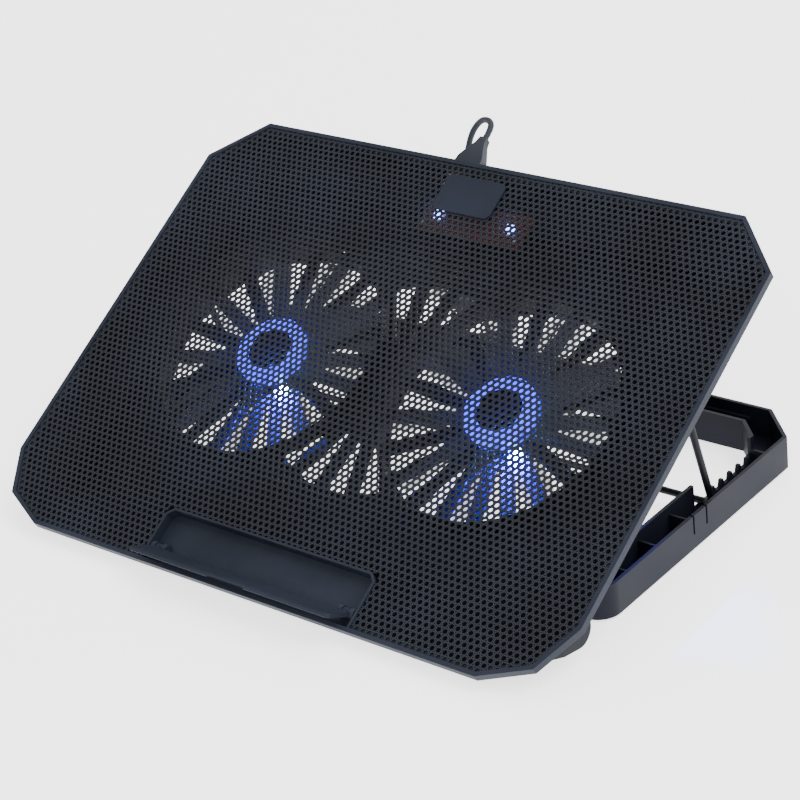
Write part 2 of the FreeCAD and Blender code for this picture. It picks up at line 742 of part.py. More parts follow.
def rack_cut(side):
    """What the inner side wall loses: the space over the teeth, and the notches."""
    inner = size("stand_half_width") - size("stand_channel") - 1
    outer = inner + size("stand_wall") + 2
    foot = bail_foot()
    count = int(size("notch_count"))
    pitch = size("notch_pitch")
    seat = size("bar_height") - size("wire_radius") - size("clearance")
    half = size("wire_radius") + size("clearance")
    high = size("stand_height") + 1
    space = slab(inner, outer, foot - 5.6, foot + pitch * count - 1, size("tooth_top"), high)
    notches = [slab(inner, outer, foot - 5.6, foot, seat, high)]
    for step in range(count):
        notches.append(rack_notch(inner, outer, foot + pitch * step, seat, half))
    low_tip = seat + 0.5
    notches.append(slab(inner, outer, foot, foot + pitch, low_tip, high))
    cut = space.fuse(notches)
    if side < 0:
        cut = cut.mirror(Vector(), X_AXIS)
    return cut


def stand_arm(side):
    """Bar from the ring's front corner to the hinge axis, with a round end."""
    inner, outer = 153.0, 163.5
    height = size("axle_height")
    front = size("stand_front")
    boss = rod(6.5, Vector(inner, 0, height), Vector(outer, 0, height))
    bar = slab(inner, outer, 0, front + 3, height - 6.5, size("stand_height"))
    arm = boss.fuse(bar)
    bore = size("axle_radius") + size("running_fit")
    arm = arm.cut(rod(bore, Vector(inner - 1, 0, height), Vector(outer + 1, 0, height)))
    if side < 0:
        arm = arm.mirror(Vector(), X_AXIS)
    return arm


def make_stand():
    """Ring of open channel that lies on the desk, with the rack and the hinge arms."""
    wall = size("stand_wall")
    channel = size("stand_channel")
    foot = size("foot_height")
    high = size("stand_height")
    solid = stand_block(0, foot, high)
    opening = stand_block(channel, foot - 1, high + 1)
    groove = stand_block(wall, foot + size("stand_floor"), high + 1).cut(
        stand_block(channel - wall, foot, high + 1)
    )
    frame = solid.cut([opening, groove])
    front = size("stand_front")
    half = size("stand_half_width")
    ribs = []
    reach = channel / 2 - 1
    for y, top in ((56.0, 15.0), (82.0, 15.0), (110.0, 15.0), (188.5, 12.5)):
        for side in (-1, 1):
            x = side * (half - channel / 2)
            ribs.append(slab(x - reach, x + reach, y, y + 1.2, foot, top))
    for x in (-100.0, -50.0, 0.0, 50.0, 100.0):
        ribs.append(slab(x, x + 1.2, size("stand_rear") - channel + 1, size("stand_rear") - 1, foot, 9.0))
    ledge = slab(-136, 136, size("stand_rear") - wall - 2.0, size("stand_rear") - 1, 11.8, 13.0)
    frame = fused(frame, ledge, *ribs)
    low_front = slab(-151, 151, front - 1, front + channel + 1, 6.5, high + 1)
    slits = []
    for y in (107.6, 119.4):
        for side in (-1, 1):
            slits.append(slab(side * half - 3.2, side * half + 3.2, y, y + 1.4, 9.0, high + 1))
    frame = frame.cut([low_front] + slits + [rack_cut(-1), rack_cut(1)])
    frame = fused(frame, stand_arm(-1), stand_arm(1))
    return solid_piece("stand_frame", frame, STAND)


def make_feet():
    """Rubber pads under the ring."""
    half = size("stand_half_width") - size("stand_channel") / 2
    front = size("stand_front") + size("stand_channel") / 2
    rear = size("stand_rear") - size("stand_channel") / 2
    spots = ((half - 12, front), (half, 130.0), (half - 30, rear))
    thick = size("foot_height")
    pads = [disc(6.0, 0, thick, side * x, y) for side in (-1, 1) for x, y in spots]
    return solid_piece("rubber_feet", group_of(pads), STAND)


def hinge_pins():
    """Two steel pins, fixed in the housing's cheeks and turning in the stand's arms."""
    y, z = size("axle_y"), -size("axle_drop")
    spans = ((152.0, 176.0), (-176.0, -152.0))
    return group_of([rod(size("axle_radius"), Vector(a, y, z), Vector(b, y, z)) for a, b in spans])


# ---------------------------------------------------------------- bail


def quarter_bend(side, bend, corner_z, x, turn):
    """Quarter circle at one of the bail's corners: turn is 1 at the top and -1 at the bottom."""
    diagonal = bend * (1 - math.sqrt(0.5))
    along = Vector(side * (x - bend), 0, corner_z)
    middle = Vector(side * (x - diagonal), 0, corner_z - turn * diagonal)
    upright = Vector(side * x, 0, corner_z - turn * bend)
    return Part.Arc(along, middle, upright).toShape()


def make_bail():
    """Bent steel wire: an end in each boss, two legs and the crossbar between them."""
    x = size("bail_x")
    length = size("bail_length")
    bend = 6.0
    radius = size("wire_radius")
    hook = 3.0
    inward = 147.0
    edges = [Part.LineSegment(Vector(-inward, 0, 0), Vector(-x + hook, 0, 0)).toShape()]
    edges.append(quarter_bend(-1, hook, 0.0, x, 1))
    edges.append(Part.LineSegment(Vector(-x, 0, -hook), Vector(-x, 0, -length + bend)).toShape())
    edges.append(quarter_bend(-1, bend, -length, x, -1))
    edges.append(Part.LineSegment(Vector(-x + bend, 0, -length), Vector(x - bend, 0, -length)).toShape())
    edges.append(quarter_bend(1, bend, -length, x, -1))
    edges.append(Part.LineSegment(Vector(x, 0, -length + bend), Vector(x, 0, -hook)).toShape())
    edges.append(quarter_bend(1, hook, 0.0, x, 1))
    edges.append(Part.LineSegment(Vector(x - hook, 0, 0), Vector(inward, 0, 0)).toShape())
    path = Part.Wire(Part.__sortEdges__(edges))
    section = Part.Wire(Part.Circle(Vector(-inward, 0, 0), X_AXIS, radius).toShape())
    wire = path.makePipeShell([section], True, False)
    pivot = PAD.multVec(Vector(0, size("bail_y"), -size("bail_drop")))
    foot = Vector(0, size("centre_shift") + bail_foot(), size("bar_height"))
    lean = math.degrees(math.atan2(foot.y - pivot.y, pivot.z - foot.z))
    return solid_piece("bail", wire, FreeCAD.Placement(pivot, FreeCAD.Rotation(X_AXIS, lean)))


# ---------------------------------------------------------------- lead

PLUG_LENGTH = 24.4


def make_plug(label, placement):
    """USB-A plug: a steel shell and a tapered moulding that the cord leaves from."""
    radius = size("cord_radius")
    half_thick = 3.4
    shell = slab(-6.0, 6.0, -11.0, 0.5, -2.0, 2.4)
    hollow = slab(-5.6, 5.6, -12.0, -1.0, -0.3, 2.0)
    end = PLUG_LENGTH - 0.1
    widths = ((0, 8.0), (3.5, 8.7), (9.5, 8.0), (15, 5.4), (20, 3.0), (end, radius + 0.5))
    right = [(half, y) for y, half in widths]
    outline = right + [(-x, y) for x, y in reversed(right)]
    moulding = prism(outline, -half_thick, half_thick)
    side = [(0, half_thick), (12.0, half_thick), (end, radius + 0.5)]
    loop = [Vector(-12, y, z) for y, z in side] + [Vector(-12, y, -z) for y, z in reversed(side)]
    profile = Part.Face(Part.makePolygon(loop + loop[:1])).extrude(Vector(24, 0, 0))
    moulding = moulding.common(profile)
    solid_piece(f"{label}_shell", shell.cut(hollow), placement)
    solid_piece(f"{label}_moulding", moulding.cut(shell), placement)


def plug_placement():
    """The plug sits in the left socket, pointing back along the pad."""
    rear = size("pad_depth") - size("housing_inset") + 0.3
    return PAD * FreeCAD.Placement(Vector(size("socket_x"), rear, -size("socket_drop")), FreeCAD.Rotation())


def cord_route():
    """Hand-chosen points of the lead, in the model frame, from the plug down to the coil."""
    start = plug_placement().multVec(Vector(0, PLUG_LENGTH, 0))
    desk = size("cord_radius") + 0.1 - start.z
    offsets = [
        (0.0, 0.0, 0.0),
        (0.0, 6.9, 4.0),
        (-5.5, 12.5, 5.5),
        (-14.5, 15.5, 3.0),
        (-23.0, 15.5, -8.0),
        (-28.0, 14.0, -30.0),
        (-30.5, 13.5, -62.0),
        (-31.5, 17.0, -95.0),
        (-33.0, 23.5, -125.0),
        (-34.5, 31.0, desk),
        (-37.0, 52.0, desk),
    ]
    return [start + Vector(*offset) for offset in offsets]


def far_plug_placement(end):
    """The other plug lies on the desk, its cord coming from the coil."""
    turned = FreeCAD.Rotation(Z_AXIS, -90)
    return FreeCAD.Placement(end + Vector(-PLUG_LENGTH, 0, 0), turned)


def make_lead():
    """The lead: its tube, the coil of its unseen length, the tie and both plugs."""
    make_plug("lead_plug", plug_placement())
    route = cord_route()
    solid_piece("lead_cord", tube(route, size("cord_radius"), "lead_cord"), FreeCAD.Placement())
    middle = size("coil_radius")
    half = size("coil_section") / 2
    arriving = (route[-1] - route[-2]).normalize()
    centre = route[-1] + Vector(-arriving.y, arriving.x, 0) * middle
    centre.z = half + 0.6
    far_side = centre + Vector(0, middle, 0)
    tail_end = far_side + Vector(-16, 0, 0)
    coil = Part.makeTorus(middle, half, centre).fuse(rod(size("cord_radius"), far_side, tail_end))
    entry = rod(size("cord_radius"), route[-1] - arriving * 12, route[-1])
    tie = rod(half + 0.6, centre + Vector(-middle, -2.5, 0), centre + Vector(-middle, 2.5, 0))
    tie = tie.cut(rod(half + 0.1, centre + Vector(-middle, -3, 0), centre + Vector(-middle, 3, 0)))
    solid_piece("lead_coil", coil.cut(entry), FreeCAD.Placement())
    solid_piece("lead_tie", tie.cut(coil), FreeCAD.Placement())
    make_plug("far_plug", far_plug_placement(tail_end))


# ---------------------------------------------------------------- the whole object

make_bezel()
make_mesh_panel()
make_badge()
make_stopper()
solid_piece("stopper_pins", stopper_pins(), PAD)
make_housing()
make_fan("left", -size("fan_spacing") / 2)
make_fan("right", size("fan_spacing") / 2)
make_hub_board()
make_socket("input_socket", size("socket_x"))
make_socket("spare_socket", size("spare_socket_x"))
make_switch()
solid_piece("left_fan_wire", tube(fan_wire_route(-size("fan_spacing") / 2), 0.6, "left_fan_wire"), PAD)
solid_piece("right_fan_wire", tube(fan_wire_route(size("fan_spacing") / 2), 0.6, "right_fan_wire"), PAD)
make_stand()
make_feet()
solid_piece("hinge_pins", hinge_pins(), PAD)
make_bail()
make_lead()
doc.recompute()

for item in doc.Objects:
    if "Invalid" in item.State or "Error" in item.State:
        raise RuntimeError(f"{item.Label} failed to compute")

os.makedirs("parts", exist_ok=True)
box = FreeCAD.BoundBox()
for piece in pieces:
    shape = piece.Shape
    if shape.isNull() or not shape.isValid():
        raise RuntimeError(f"{piece.Label} has no valid shape")
    shape.exportStep(f"parts/{piece.Label}.step")
    if not piece.Label.startswith(("lead_", "far_")):
        box.add(shape.BoundBox)
print(f"{len(pieces)} nodes, object without its lead: X {box.XMin:.2f} to {box.XMax:.2f}, "
      f"Y {box.YMin:.2f} to {box.YMax:.2f}, Z {box.ZMin:.2f} to {box.ZMax:.2f}")
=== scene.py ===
import json
import math

import bmesh
import bpy
from bpy.props import FloatProperty, FloatVectorProperty, IntProperty, PointerProperty
from mathutils import Matrix, Vector


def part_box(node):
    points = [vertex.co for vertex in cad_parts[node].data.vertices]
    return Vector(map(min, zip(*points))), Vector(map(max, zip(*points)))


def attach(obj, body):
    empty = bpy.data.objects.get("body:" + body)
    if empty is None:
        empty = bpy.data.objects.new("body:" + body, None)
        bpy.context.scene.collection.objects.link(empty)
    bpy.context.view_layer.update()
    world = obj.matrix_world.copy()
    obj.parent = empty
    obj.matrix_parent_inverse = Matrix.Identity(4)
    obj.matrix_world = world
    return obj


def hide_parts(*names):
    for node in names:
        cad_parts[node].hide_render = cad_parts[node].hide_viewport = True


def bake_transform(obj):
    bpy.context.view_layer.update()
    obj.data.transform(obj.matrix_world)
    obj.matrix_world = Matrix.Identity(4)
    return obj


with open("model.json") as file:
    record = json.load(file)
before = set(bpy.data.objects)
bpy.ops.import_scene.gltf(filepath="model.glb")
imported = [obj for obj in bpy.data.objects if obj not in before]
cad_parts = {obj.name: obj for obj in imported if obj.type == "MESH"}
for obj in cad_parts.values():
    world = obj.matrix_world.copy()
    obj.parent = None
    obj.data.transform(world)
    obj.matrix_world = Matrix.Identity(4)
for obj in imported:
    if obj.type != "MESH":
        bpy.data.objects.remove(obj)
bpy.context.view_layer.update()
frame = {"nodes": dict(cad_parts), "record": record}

bl_info = {
    "name": "Laptop cooling pad",
    "version": (1, 0, 0),
    "blender": (4, 5, 0),
    "location": "View3D > Sidebar > Cooling pad",
    "description": "Finishes a laptop cooling pad on its packed CAD frame",
    "category": "Object",
}

MM = 0.001

# ---------------------------------------------------------------- frames
#
# The pad frame has its origin at the middle of the pad's front top edge: X to the right,
# Y towards the rear and Z out of the top face.  PAD takes it to the shared frame.

PAD_WIDTH = 370 * MM
PAD_DEPTH = 271 * MM
HINGE_BACK = 42 * MM
HINGE_DROP = 14 * MM
PLUG_SEAT = (-20 * MM, 267.8 * MM, -8 * MM)

# The right half of the pad's outline from front to rear, in millimetres of the pad frame.
OUTLINE = [(146, 0), (172.5, 12.5), (185, 38), (185, 242.7), (156.7, 271)]

JOINTS = {joint["name"]: joint for joint in frame["record"]["behaviour"]["joints"]}
TILT = math.asin(-JOINTS["left_fan_spin"]["axis"][1])
HINGE = Vector(JOINTS["pad_tilt"]["pos_m"])
PAD = (
    Matrix.Translation(HINGE)
    @ Matrix.Rotation(TILT, 4, "X")
    @ Matrix.Translation((0, -HINGE_BACK, HINGE_DROP))
)
FAN_SPOTS = {
    side: PAD.inverted() @ Vector(JOINTS[f"{side}_fan_spin"]["pos_m"]) for side in ("left", "right")
}


# ---------------------------------------------------------------- selection and mesh helpers


def deselect():
    """Leave nothing selected."""
    bpy.ops.object.select_all(action="DESELECT")


def activate(*pieces):
    """Select only these objects, the last one active."""
    deselect()
    for piece in pieces:
        piece.select_set(True)
    bpy.context.view_layer.objects.active = pieces[-1]


def edit(piece, mode="VERT"):
    """Open a piece in edit mode with nothing selected."""
    activate(piece)
    bpy.ops.object.mode_set(mode="EDIT")
    bpy.ops.mesh.select_mode(type=mode)
    bpy.ops.mesh.select_all(action="DESELECT")


def close():
    """Leave edit mode."""
    bpy.ops.object.mode_set(mode="OBJECT")


def pick(piece, test):
    """Select the faces whose middle passes a test."""
    bpy.ops.mesh.select_mode(type="FACE")
    shape = bmesh.from_edit_mesh(piece.data)
    for face in shape.faces:
        face.select_set(test(face.calc_center_median()))
    shape.select_flush_mode()
    bmesh.update_edit_mesh(piece.data)


def merge(piece, distance):
    """Join the vertices of a piece that lie within a distance of each other."""
    edit(piece)
    bpy.ops.mesh.select_all(action="SELECT")
    bpy.ops.mesh.remove_doubles(threshold=distance)


def add_object(name, data):
    """A new object in the scene."""
    piece = bpy.data.objects.new(name, data)
    bpy.context.scene.collection.objects.link(piece)
    return piece


def apply_modifiers(piece):
    """Bake every modifier of a piece into its mesh."""
    activate(piece)
    for modifier in list(piece.modifiers):
        bpy.ops.object.modifier_apply(modifier=modifier.name)


def smooth(piece, angle=35):
    """Shade a piece smooth, except where its faces meet at more than an angle in degrees."""
    activate(piece)
    bpy.ops.object.shade_smooth_by_angle(angle=math.radians(angle))


def settle(piece, place=None):
    """Put a piece's place into its mesh, so that its object is at the origin."""
    if place is not None:
        piece.matrix_world = place @ piece.matrix_world
    bpy.context.view_layer.update()
    activate(piece)
    bpy.ops.object.transform_apply(location=True, rotation=True, scale=True)
    return piece


def finish(piece, material, body, slot, *nodes):
    """Give a piece its material, and put it on its body in place of CAD nodes; its slot is not
    used.
    """
    piece.data.materials.clear()
    piece.data.materials.append(material)
    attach(piece, body)
    if nodes:
        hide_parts(*nodes)
    return piece


def body_with(node):
    """The body that carries a CAD node."""
    bodies = frame["record"]["behaviour"]["bodies"]
    return next(name for name, nodes in bodies.items() if node in nodes)


def slot_of(node):
    """The material slot of a CAD node."""
    entries = frame["record"]["subparts"]
    return next(entry["material_slot"] for entry in entries if entry["node"] == node)


SAME_POINT = 0.0001 * MM
FACET_MERGE = 0.002 * MM
FLAT_ANGLE = math.radians(0.4)
SHARP_ANGLE = math.radians(32)


def refine(node, material, bevel=0.3, segments=2):
    """A merged copy of a CAD node with its sharp edges broken, in place of the node."""
    piece = add_object(f"{node}_finished", frame["nodes"][node].data.copy())
    merge(piece, FACET_MERGE)
    bpy.ops.mesh.dissolve_limited(angle_limit=FLAT_ANGLE)
    close()
    if bevel:
        modifier = piece.modifiers.new("EdgeBreak", "BEVEL")
        modifier.width = bevel * MM
        modifier.segments = segments
        modifier.limit_method = "ANGLE"
        modifier.angle_limit = SHARP_ANGLE
        modifier.use_clamp_overlap = True
        apply_modifiers(piece)
    smooth(piece)
    if bevel:
        modifier = piece.modifiers.new("FlatFaces", "WEIGHTED_NORMAL")
        modifier.keep_sharp = True
        apply_modifiers(piece)
    return finish(piece, material, body_with(node), slot_of(node), node)


# ---------------------------------------------------------------- materials


def colour(code):
    """Linear colour from an sRGB hex code."""
    channels = [int(code[start : start + 2], 16) / 255 for start in (0, 2, 4)]
    linear = [c / 12.92 if c <= 0.04045 else ((c + 0.055) / 1.055) ** 2.4 for c in channels]
    return (*linear, 1.0)


def add_node(tree, kind, links=(), **settings):
    """Add a node: settings are its properties or inputs, links are (input, from node, output)."""
    node = tree.nodes.new(kind)
    for name, setting in settings.items():
        if hasattr(node, name):
            setattr(node, name, setting)
        else:
            node.inputs[name.replace("_", " ")].default_value = setting
    for socket, source, output in links:
        tree.links.new(source.outputs[output], node.inputs[socket])
    return node


def new_material(name):
    """A material with a bare Principled surface, and its tree."""
    material = bpy.data.materials.new(name)
    material.use_nodes = True
    tree = material.node_tree
    surface = tree.nodes["Principled BSDF"]
    return material, tree, surface


def set_surface(surface, **inputs):
    """Set inputs of a surface, named with _ for each space."""
    for name, setting in inputs.items():
        surface.inputs[name.replace("_", " ")].default_value = setting


def noise(tree, **settings):
    """Noise on a piece's own coordinates."""
    place = add_node(tree, "ShaderNodeTexCoord")
    return add_node(tree, "ShaderNodeTexNoise", [("Vector", place, "Object")], **settings)


def two_tone(tree, surface, field, dark, light, low=0.0, high=1.0):
    """Colour a surface from dark to light as a field goes from low to high."""
    ramp = add_node(tree, "ShaderNodeValToRGB", [("Fac", field, "Fac")])
    for element, position, code in zip(ramp.color_ramp.elements, (low, high), (dark, light)):
        element.position = position
        element.color = colour(code)
    tree.links.new(ramp.outputs["Color"], surface.inputs["Base Color"])


def roughen(tree, surface, field, strength, depth):
    """Raise a surface by a field, over a depth."""
    bump = add_node(
        tree, "ShaderNodeBump", [("Height", field, "Fac")], Strength=strength, Distance=depth
    )
    tree.links.new(bump.outputs["Normal"], surface.inputs["Normal"])


def grained(name, light, dark, grain_mm, strength, roughness, spread=0.08, **inputs):
    """Moulded or coated surface: cloudy colour, uneven gloss and a fine grain of one size."""
    material, tree, surface = new_material(name)
    cloud = noise(tree, Scale=22.0, Detail=3.0)
    two_tone(tree, surface, cloud, dark, light, 0.35, 0.65)
    gloss = add_node(
        tree,
        "ShaderNodeMapRange",
        [("Value", cloud, "Fac")],
        From_Min=0.3,
        From_Max=0.7,
        To_Min=roughness - spread,
        To_Max=roughness + spread,
    )
    tree.links.new(gloss.outputs["Result"], surface.inputs["Roughness"])
    grain = noise(tree, Scale=1000 / grain_mm / 2, Detail=2.0, Roughness=0.6)
    roughen(tree, surface, grain, strength, 0.2 * MM)
    set_surface(surface, **inputs)
    return material


def moulded_abs(name, light, dark, roughness=0.5):
    """Spark-textured ABS: a fine satin grain of about 0.3 mm that breaks up every highlight."""
    return grained(
        name,
        light,
        dark,
        grain_mm=0.3,
        strength=0.22,
        roughness=roughness,
        IOR=1.53,
        Specular_IOR_Level=0.08,
    )


def powder_coat():
    """Polyester powder on perforated steel: low orange-peel waves about 1 mm apart, soft sheen."""
    return grained(
        "powder_coated_steel",
        "1c202b",
        "151820",
        grain_mm=1.0,
        strength=0.25,
        roughness=0.5,
        IOR=1.45,
    )


def pvc_jacket():
    """Extruded soft PVC: matt, slightly greyed, with a faint waxy bloom."""
    return grained(
        "extruded_pvc",
        "2b2f38",
        "22252d",
        grain_mm=0.5,
        strength=0.2,
        roughness=0.6,
        IOR=1.53,
        Specular_IOR_Level=0.2,
    )


def soft_rubber():
    """Moulded silicone rubber: dull and a little dusty."""
    return grained(
        "moulded_rubber",
        "26272b",
        "1b1c1f",
        grain_mm=0.4,
        strength=0.3,
        roughness=0.8,
        IOR=1.43,
    )


def painted_wire():
    """Black enamel on drawn steel wire: thin, fairly glossy, with long soft highlights."""
    return grained(
        "enamelled_steel_wire",
        "15171c",
        "0f1014",
        grain_mm=0.8,
        strength=0.12,
        roughness=0.42,
        IOR=1.5,
        Specular_IOR_Level=0.12,
    )


def solder_mask():
    """Dark red solder mask over copper tracks on glass epoxy: the tracks show as lighter bands."""
    material, tree, surface = new_material("solder_mask")
    place = add_node(tree, "ShaderNodeTexCoord")
    tracks = add_node(
        tree,
        "ShaderNodeTexBrick",
        [("Vector", place, "Object")],
        Scale=260.0,
        Mortar_Size=0.05,
        Color1=colour("5a2a20"),
        Color2=colour("4a221b"),
        Mortar=colour("8a4a34"),
    )
    tree.links.new(tracks.outputs["Color"], surface.inputs["Base Color"])
    roughen(tree, surface, tracks, 0.3, 0.1 * MM)
    set_surface(surface, Roughness=0.35, IOR=1.55)
    return material


def metal(name, light, dark, roughness, stretch=(1, 1, 1)):
    """Bare metal with fine tool or drawing marks along one way."""
    material, tree, surface = new_material(name)
    place = add_node(tree, "ShaderNodeTexCoord")
    turned = add_node(
        tree,
        "ShaderNodeMapping",
        [("Vector", place, "Object")],
        Scale=stretch,
        Rotation=(-TILT, 0, 0),
    )
    marks = add_node(
        tree, "ShaderNodeTexNoise", [("Vector", turned, "Vector")], Scale=600.0, Detail=4.0
    )
    two_tone(tree, surface, marks, dark, light, 0.3, 0.7)
    roughen(tree, surface, marks, 0.12, 0.1 * MM)
    set_surface(surface, Metallic=1.0, Roughness=roughness)
    return material


def smoky_polycarbonate():
    """Injection-moulded tinted polycarbonate: thin, clear, with a haze that catches the lamps."""
    material, tree, surface = new_material("smoky_polycarbonate")
    two_tone(tree, surface, noise(tree, Scale=90.0, Detail=2.0), "4a4f62", "6a7086")
    set_surface(surface, Roughness=0.3, IOR=1.4, Alpha=0.4)
    return material


def lit_resin(name, body, painted_glow_tint, light, mottle_scale, strength, roughness):
    """Clear resin with light inside: its base colour mottled by noise of one scale from its body
    colour to a painted glow tint, and glowing in one colour.
    """
    material, tree, surface = new_material(name)
    two_tone(tree, surface, noise(tree, Scale=mottle_scale, Detail=2.0), body, painted_glow_tint)
    set_surface(
        surface,
        Roughness=roughness,
        IOR=1.5,
        Emission_Color=colour(light),
        Emission_Strength=strength,
    )
    return material


def painted_glow_polycarbonate():
    """The hub's face of the same resin with a painted glow: a soft blue ring of emission in place
    of the lamp's light through its edge.
    """
    return lit_resin(
        "painted_glow_polycarbonate",
        "2a2f66",
        "3c4490",
        "2c3aff",
        mottle_scale=70.0,
        strength=4.5,
        roughness=0.3,
    )


def glowing(name, body, light, strength):
    """Clear resin lit from inside by its own chip: bright, with fine cells of painted sparkle in
    the light's colour.
    """
    return lit_resin(name, body, light, light, mottle_scale=500.0, strength=strength, roughness=0.25)


# ---------------------------------------------------------------- sizes and colours


class LeadSizes(bpy.types.PropertyGroup):
    radius: FloatProperty(
        name="Radius", description="Lead, radius", default=1.7 * MM, unit="LENGTH"
    )
    plug_length: FloatProperty(
        name="Plug", description="Plug moulding, length", default=24.4 * MM, unit="LENGTH"
    )
    coil_radius: FloatProperty(
        name="Coil", description="Middle of the coil's turns", default=18.5 * MM, unit="LENGTH"
    )
    coil_turns: FloatProperty(
        name="Turns", description="Whole and part turns in the coil", default=2.25
    )


class MeshSizes(bpy.types.PropertyGroup):
    pitch: FloatProperty(
        name="Pitch", description="Hole to hole", default=3.787 * MM, unit="LENGTH"
    )
    hole: FloatProperty(name="Hole", description="Hole radius", default=1.36 * MM, unit="LENGTH")
    sink: FloatProperty(
        name="Sink", description="Mesh below the rim's top", default=0.6 * MM, unit="LENGTH"
    )
    thickness: FloatProperty(
        name="Sheet", description="Sheet thickness", default=1.0 * MM, unit="LENGTH"
    )
    sides: IntProperty(name="Sides", description="Sides of a hole", default=12)


class StageSizes(bpy.types.PropertyGroup):
    azimuth: FloatProperty(
        name="Azimuth",
        description="Camera's heading",
        default=math.radians(41.52),
        subtype="ANGLE",
    )
    elevation: FloatProperty(
        name="Elevation",
        description="Camera above the horizon",
        default=math.radians(27.6),
        subtype="ANGLE",
    )
    roll: FloatProperty(
        name="Roll", description="Camera's roll", default=math.radians(-7.09), subtype="ANGLE"
    )
    place: FloatVectorProperty(
        name="Place",
        description="Camera",
        default=(0.75445, -0.84242, 0.64522),
        subtype="TRANSLATION",
    )
    lens: FloatProperty(name="Lens", description="Focal length in millimetres", default=110.3)
    floor: FloatVectorProperty(
        name="Floor",
        description="Floor colour",
        default=(0.93, 0.935, 0.945),
        subtype="COLOR",
        max=1.0,
    )
    table_light: FloatProperty(
        name="Table light", description="Light out of the floor", default=2.0
    )
    glow_heading: FloatProperty(
        name="Glow heading",
        description="Fan lamp, round the fan's axis",
        default=-math.pi / 4,
        subtype="ANGLE",
    )
    glow_reach: FloatProperty(
        name="Glow reach",
        description="Fan lamp, from the fan's axis",
        default=25 * MM,
        unit="LENGTH",
    )
    glow_drop: FloatProperty(
        name="Glow drop",
        description="Fan lamp, below the top face",
        default=12.5 * MM,
        unit="LENGTH",
    )
    glow_power: FloatProperty(
        name="Glow power", description="One beam of a fan's lamp", default=6.0
    )


# ---------------------------------------------------------------- lead


STEPS_PER_TURN = 16
DESK_GAP = 0.1 * MM

# The coil starts to climb over its own first turn here, and takes this long, both in turns.
CLIMB_FROM = 0.8
CLIMB_OVER = 0.5

# How far the coil swings out and in, and how high it climbs, as parts of the lead's radius.
COIL_SWING = 0.95
COIL_CLIMB = 1.5


def cord_route(sizes):
    """Where the lead leaves its plug, and its points from there to the desk and round the coil."""
    across, rear, height = PLUG_SEAT
    start = PAD @ Vector((across, rear + sizes.plug_length, height))
    resting = sizes.radius + DESK_GAP
    desk = resting - start.z
    offsets = [
        (0.0, 0.0, 0.0),
        (0.0, 6.9, 4.0),
        (-5.5, 12.5, 5.5),
        (-14.5, 15.5, 3.0),
        (-23.0, 15.5, -8.0),
        (-28.0, 14.0, -30.0),
        (-30.5, 13.5, -62.0),
        (-31.5, 17.0, -95.0),
        (-33.0, 23.5, -125.0),
        (-34.5, 31.0, desk / MM),
        (-37.0, 52.0, desk / MM),
    ]
    points = [start + Vector(offset) * MM for offset in offsets]
    arriving = (points[-1] - points[-2]).normalized()
    centre = points[-1] + Vector((-arriving.y, arriving.x, 0)) * sizes.coil_radius
    first = math.atan2(points[-1].y - centre.y, points[-1].x - centre.x)
    for step in range(1, int(STEPS_PER_TURN * sizes.coil_turns) + 1):
        turn = step / STEPS_PER_TURN
        angle = first + 2 * math.pi * turn
        climb = 0.0 if turn < CLIMB_FROM else min((turn - CLIMB_FROM) / CLIMB_OVER, 1.0)
        swing = math.cos(math.pi * min(turn, 2.0))
        radius = sizes.coil_radius + sizes.radius * COIL_SWING * swing
        x = centre.x + radius * math.cos(angle)
        y = centre.y + radius * math.sin(angle)
        points.append(Vector((x, y, resting + climb * sizes.radius * COIL_CLIMB)))
    return start, points


def middle_line(curve):
    """The middle line of a round curve, as points."""
    thin = curve.copy()
    thin.bevel_depth = 0
    probe = bpy.data.objects.new("middle_line", thin)
    sampled = bpy.data.meshes.new_from_object(probe)
    path = [vertex.co.copy() for vertex in sampled.vertices]
    bpy.data.objects.remove(probe)
    bpy.data.curves.remove(thin)
    bpy.data.meshes.remove(sampled)
    return path


class COOLPAD_OT_lead(bpy.types.Operator):
    """Lay the lead from its plug down to its coil, and finish both plugs and the tie"""

    bl_idname = "coolpad.lead"
    bl_label = "Lead"

    def execute(self, context):
        sizes = context.scene.coolpad_lead
        jacket = pvc_jacket()
        nickel = metal("nickel_plated_steel", "c9c9c6", "a9a9a8", 0.28)
        start, points = cord_route(sizes)
        low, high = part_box("far_plug_moulding")
        end = Vector((high.x, (low.y + high.y) / 2, (low.z + high.z) / 2))
        for run_in in (7 * MM, 0.5 * MM):
            points.append(end + Vector((run_in, 0, 0)))
        curve = bpy.data.curves.new("lead", "CURVE")
        curve.dimensions = "3D"
        curve.bevel_depth = sizes.radius
        curve.bevel_resolution = 5
        curve.resolution_u = 8
        spline = curve.splines.new("NURBS")
        spline.points.add(len(points) - 1)
        for point, place in zip(spline.points, points):
            point.co = (*place, 1.0)
        spline.order_u = 3
        spline.use_endpoint_u = True
        lead = add_object("lead", curve)
        path = middle_line(curve)
        activate(lead)
        bpy.ops.object.convert(target="MESH")
        lead = context.view_layer.objects.active
        close_tube_ends(lead)
        smooth(lead, 60)
        lead.data.materials.append(jacket)
        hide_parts("lead_cord", "lead_coil")
        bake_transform(lead)
        refine("lead_plug_moulding", jacket, 1.4, 4)
        refine("far_plug_moulding", jacket, 1.4, 4)
        refine("lead_plug_shell", nickel, 0.15)
        refine("far_plug_shell", nickel, 0.15)
        refine("lead_tie", soft_rubber(), 0.2)
        return {"FINISHED"}


def close_tube_ends(piece):
    """Fill the open ends of a tube."""
    merge(piece, SAME_POINT)
    bpy.ops.mesh.select_all(action="DESELECT")
    bpy.ops.mesh.select_non_manifold()
    bpy.ops.mesh.fill_holes(sides=0)
    close()


# ---------------------------------------------------------------- mesh panel


TRAY_HALF = 69.7 * MM
TRAY_REAR = 33.1 * MM
RIM_INSET = 2.6 * MM
CELL_MERGE = 0.02 * MM


